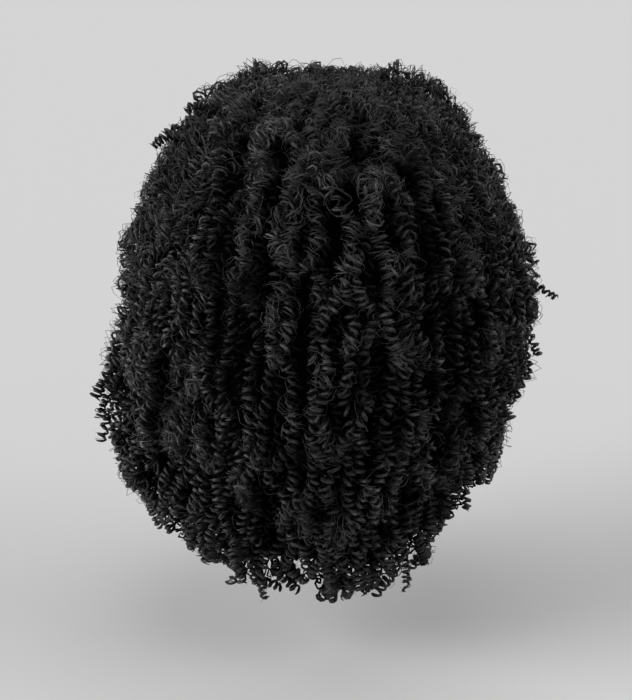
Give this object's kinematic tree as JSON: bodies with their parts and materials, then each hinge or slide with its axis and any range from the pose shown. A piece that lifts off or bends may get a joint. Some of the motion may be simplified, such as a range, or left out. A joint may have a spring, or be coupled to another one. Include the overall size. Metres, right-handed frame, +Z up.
{
  "type": "afro wig",
  "caption": "Full shoulder-length afro wig of tight spring curls in layered rows of locks on a hollow cap, held up as a head wears it.",
  "frame": {"origin": "inside of the cap at the crown, where the top of the head sits", "axes": "+Z up, +Y the way the wearer faces, +X towards the wearer's right; the picture looks along +Y at the back"},
  "size_m": [0.2633, 0.2567, 0.3166],
  "materials": {
    "hair": "kinky synthetic fibre, soft low sheen",
    "net": "matt stretch net",
    "elastic": "matt woven elastic"
  },
  "bodies": {
    "root": {"cap": "net", "edge_band": "elastic", "crown_locks": "hair", "upper_locks": "hair", "middle_locks": "hair", "lower_locks": "hair", "nape_locks": "hair", "fringe_locks": "hair"}
  },
  "joints": []
}
